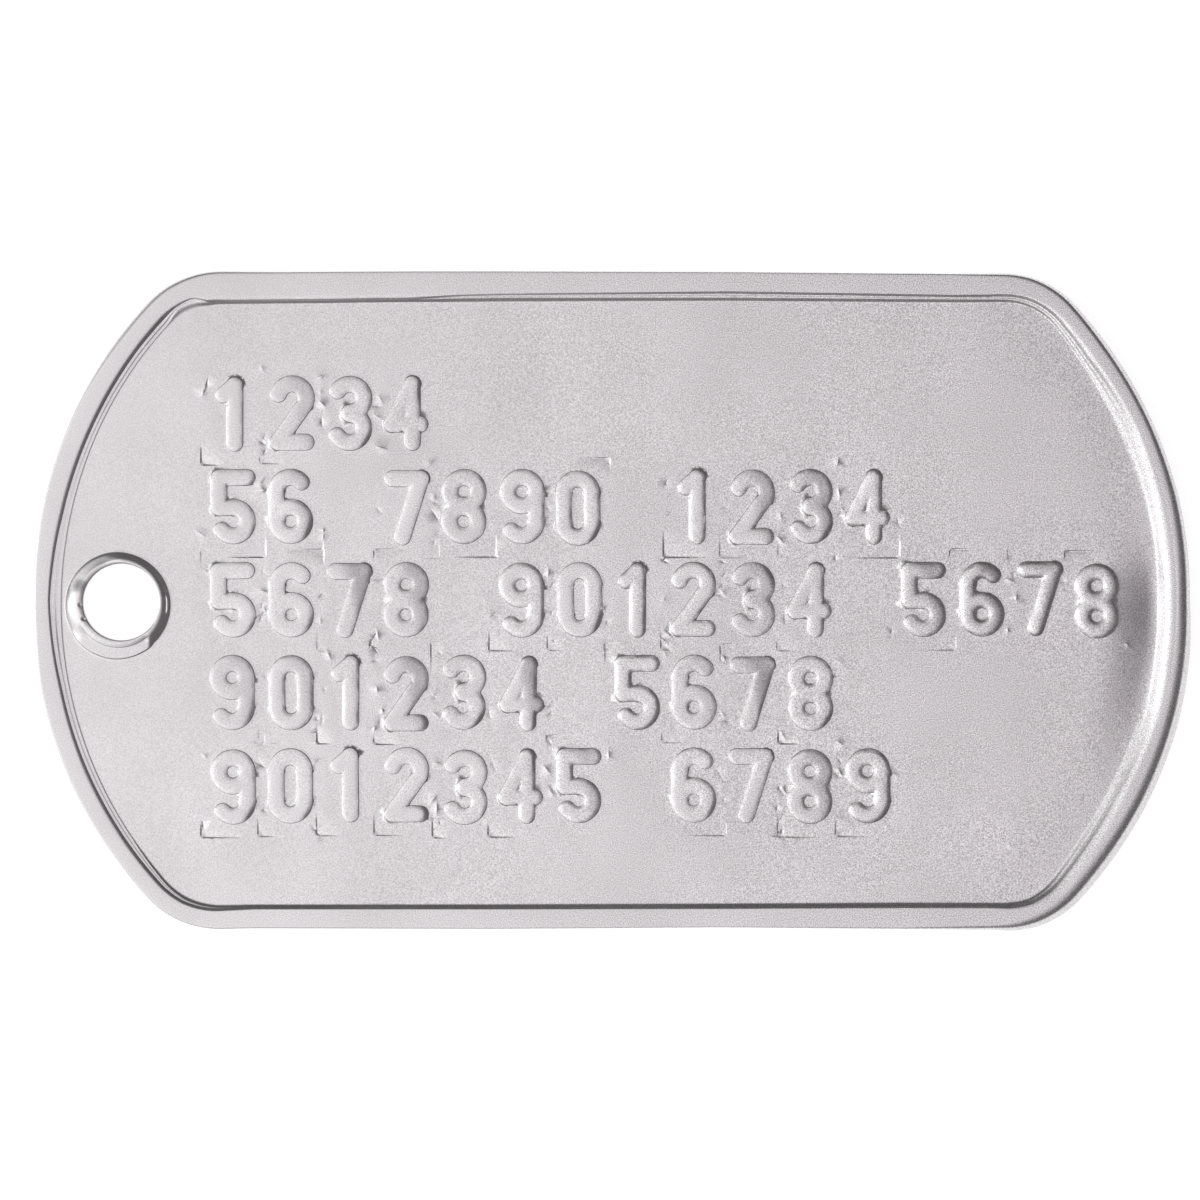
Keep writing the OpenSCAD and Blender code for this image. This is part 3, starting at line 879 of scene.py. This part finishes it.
skin = bpy.data.meshes.new("dog_tag")
skin.vertices.add(len(vertices))
skin.vertices.foreach_set("co", (vertices * 0.001).ravel())
skin.loops.add(3 * len(triangles))
skin.loops.foreach_set("vertex_index", triangles.ravel())
skin.polygons.add(len(triangles))
skin.polygons.foreach_set("loop_start", np.arange(len(triangles)) * 3)
skin.polygons.foreach_set("use_smooth", np.ones(len(triangles), bool))
skin.update(calc_edges=True)
dog_tag = bpy.data.objects.new("dog_tag", skin)
bpy.context.scene.collection.objects.link(dog_tag)
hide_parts("tag_plate")
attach(dog_tag, "root")


# Finish of the steel: a fine satin grain, stronger towards the right end, where the tag
# rubbed most, faint hairlines from handling, and slow changes of gloss across the sheet.
steel = bpy.data.materials.new("satin_steel_looks")
steel.use_nodes = True
nodes, links = steel.node_tree.nodes, steel.node_tree.links
shader = nodes["Principled BSDF"]
shader.inputs["Metallic"].default_value = 1.0
place = nodes.new("ShaderNodeTexCoord")


def steel_noise(scale, detail, stretch):
    """Noise over the tag's own place, with a number of spots to the metre and a stretch."""
    turned = nodes.new("ShaderNodeMapping")
    turned.inputs["Scale"].default_value = stretch
    links.new(place.outputs["Object"], turned.inputs["Vector"])
    noise = nodes.new("ShaderNodeTexNoise")
    noise.inputs["Scale"].default_value = scale
    noise.inputs["Detail"].default_value = detail
    links.new(turned.outputs["Vector"], noise.inputs["Vector"])
    return noise.outputs["Fac"]


def spread_over(value, low, high, to_low, to_high):
    """A noise value spread from its own range to the range that a socket needs."""
    node = nodes.new("ShaderNodeMapRange")
    node.inputs["From Min"].default_value = low
    node.inputs["From Max"].default_value = high
    node.inputs["To Min"].default_value = to_low
    node.inputs["To Max"].default_value = to_high
    links.new(value, node.inputs["Value"])
    return node.outputs["Result"]


grain = steel_noise(21000, 1.0, (1, 1, 1))
cloud = steel_noise(260, 3.0, (1, 1, 1))
hairline = steel_noise(420, 2.0, (1, 22, 1))
tint = nodes.new("ShaderNodeMix")
tint.data_type = "RGBA"
tint.inputs["A"].default_value = (0.42, 0.405, 0.415, 1)
tint.inputs["B"].default_value = (1.0, 0.98, 0.99, 1)
links.new(spread_over(grain, 0.3, 0.7, 0, 1), tint.inputs["Factor"])
along_tag = nodes.new("ShaderNodeSeparateXYZ")
links.new(place.outputs["Object"], along_tag.inputs["Vector"])
grained = nodes.new("ShaderNodeMix")
grained.data_type = "RGBA"
grained.inputs["A"].default_value = (0.71, 0.693, 0.703, 1)
links.new(spread_over(along_tag.outputs["X"], -0.022, 0.012, 0.35, 1.0), grained.inputs["Factor"])
links.new(tint.outputs["Result"], grained.inputs["B"])
links.new(grained.outputs["Result"], shader.inputs["Base Color"])
links.new(spread_over(cloud, 0.3, 0.7, 0.27, 0.35), shader.inputs["Roughness"])
grain_bump = nodes.new("ShaderNodeBump")
grain_bump.inputs["Strength"].default_value = 0.5
grain_bump.inputs["Distance"].default_value = 0.000005
links.new(grain, grain_bump.inputs["Height"])
hair_bump = nodes.new("ShaderNodeBump")
hair_bump.inputs["Strength"].default_value = 0.15
hair_bump.inputs["Distance"].default_value = 0.000004
links.new(hairline, hair_bump.inputs["Height"])
links.new(grain_bump.outputs["Normal"], hair_bump.inputs["Normal"])
links.new(hair_bump.outputs["Normal"], shader.inputs["Normal"])
skin.materials.append(steel)


# Table. A white light table of lit glass, on which the tag lies face up, so that it shows
# on white with no shadow.
table_mesh = bpy.data.meshes.new("light_table")
table_mesh.from_pydata(
    [(-2, -2, -0.0002), (2, -2, -0.0002), (2, 2, -0.0002), (-2, 2, -0.0002)], [], [(0, 1, 2, 3)]
)
light_table = bpy.data.objects.new("light_table", table_mesh)
bpy.context.scene.collection.objects.link(light_table)
glass = bpy.data.materials.new("lit_glass")
glass.use_nodes = True
glass_shader = glass.node_tree.nodes["Principled BSDF"]
glass_shader.inputs["Base Color"].default_value = (0.35, 0.35, 0.35, 1)
glass_shader.inputs["Roughness"].default_value = 0.9
glass_shader.inputs["Emission Color"].default_value = (1, 1, 1, 1)
glass_shader.inputs["Emission Strength"].default_value = 0.85
table_mesh.materials.append(glass)


# Light. A soft tent round the table, dim at the right and behind, with one bright panel
# low down at the left. The camera's own view of the tent is plain and pale.
tent = bpy.data.worlds.new("light_tent")
bpy.context.scene.world = tent
tent.use_nodes = True
tent_nodes, tent_links = tent.node_tree.nodes, tent.node_tree.links
tent_light = tent_nodes["Background"]
towards = tent_nodes.new("ShaderNodeTexCoord")
split = tent_nodes.new("ShaderNodeSeparateXYZ")
tent_links.new(towards.outputs["Generated"], split.inputs["Vector"])


def tent_curve(axis, stops):
    """Brightness along one axis of the tent, from -1 to 1, straight from stop to stop. A
    stop is a place, a level and how far the colour leans from white to mauve."""
    spread_out = tent_nodes.new("ShaderNodeMapRange")
    spread_out.inputs["From Min"].default_value = -1
    tent_links.new(split.outputs[axis], spread_out.inputs["Value"])
    ramp = tent_nodes.new("ShaderNodeValToRGB")
    made = ramp.color_ramp.elements
    while len(made) < len(stops):
        made.new(0.5)
    for stop, (position, level, mauve) in zip(made, stops):
        stop.position = (position + 1) / 2
        stop.color = (level, level * (1 - mauve), level * (1 - 0.4 * mauve), 1)
    tent_links.new(spread_out.outputs["Result"], ramp.inputs["Fac"])
    return ramp.outputs["Color"]


def joined(blend, first, second):
    """Two colours of the tent multiplied or added."""
    mix = tent_nodes.new("ShaderNodeMix")
    mix.data_type = "RGBA"
    mix.blend_type = blend
    mix.inputs["Factor"].default_value = 1.0
    tent_links.new(first, mix.inputs["A"])
    tent_links.new(second, mix.inputs["B"])
    return mix.outputs["Result"]


overhead_across = tent_curve("X", [
    (-1, 0.26, 0.0), (-0.6, 0.34, 0.0), (-0.25, 0.375, 0.0), (-0.06, 0.350, 0.01), (-0.01, 0.274, 0.02),
    (0.015, 0.264, 0.03), (0.05, 0.276, 0.045), (0.08, 0.262, 0.05), (0.22, 0.135, 0.06), (0.32, 0.06, 0.06),
    (0.55, 0.02, 0.06), (1, 0.01, 0.06),
])
overhead_along = tent_curve("Y", [
    (-1, 0.10, 0), (-0.8, 0.22, 0), (-0.55, 0.7, 0), (-0.25, 1.03, 0), (-0.1, 1.02, 0),
    (0.1, 0.79, 0), (0.45, 0.34, 0), (0.8, 0.03, 0), (1, 0.02, 0),
])
panel_across = tent_curve("X", [
    (-1, 1, 0), (-0.8, 1, 0), (-0.6, 0.42, 0), (-0.35, 0.18, 0), (-0.15, 0.03, 0), (-0.06, 0, 0), (1, 0, 0),
])
panel_along = tent_curve("Y", [
    (-1, 0, 0), (-0.6, 0, 0), (-0.45, 0.06, 0), (-0.2, 0.08, 0), (-0.12, 0.12, 0), (-0.08, 0.45, 0),
    (0, 1, 0), (0.08, 0.46, 0), (0.14, 0.27, 0), (0.25, 0.24, 0), (0.36, 0.2, 0), (0.45, 0.08, 0),
    (0.6, 0, 0), (1, 0, 0),
])
walls = tent_nodes.new("ShaderNodeRGB")
walls.outputs["Color"].default_value = (0.034, 0.0325, 0.033, 1)
overhead_light = joined("MULTIPLY", overhead_across, overhead_along)
side_panel = joined("MULTIPLY", panel_across, panel_along)
lit = joined("ADD", joined("ADD", overhead_light, side_panel), walls.outputs["Color"])
tent_light.inputs["Strength"].default_value = 3.32
tent_links.new(lit, tent_light.inputs["Color"])
plain = tent_nodes.new("ShaderNodeBackground")
plain.inputs["Color"].default_value = (0.95, 0.95, 0.95, 1)
seen = tent_nodes.new("ShaderNodeLightPath")
choose = tent_nodes.new("ShaderNodeMixShader")
tent_links.new(seen.outputs["Is Camera Ray"], choose.inputs["Fac"])
tent_links.new(tent_light.outputs["Background"], choose.inputs[1])
tent_links.new(plain.outputs["Background"], choose.inputs[2])
tent_links.new(choose.outputs["Shader"], tent_nodes["World Output"].inputs["Surface"])
bpy.context.scene.view_settings.view_transform = "Standard"


# Camera. It looks straight down from 30 cm over the table, a little left of the tag's
# middle. The picture's width is measured at the height of the rim.
camera_height = 0.30
camera_x = -0.00057
picture_width = 0.05282
camera_data = bpy.data.cameras.new("overhead")
camera_data.sensor_width = 36
camera_data.lens = camera_data.sensor_width * (camera_height - rim_height * 0.001) / picture_width
camera_data.clip_start = 0.01
overhead = bpy.data.objects.new("overhead", camera_data)
overhead.location = (camera_x, 0.0, camera_height)
bpy.context.scene.collection.objects.link(overhead)
bpy.context.scene.camera = overhead
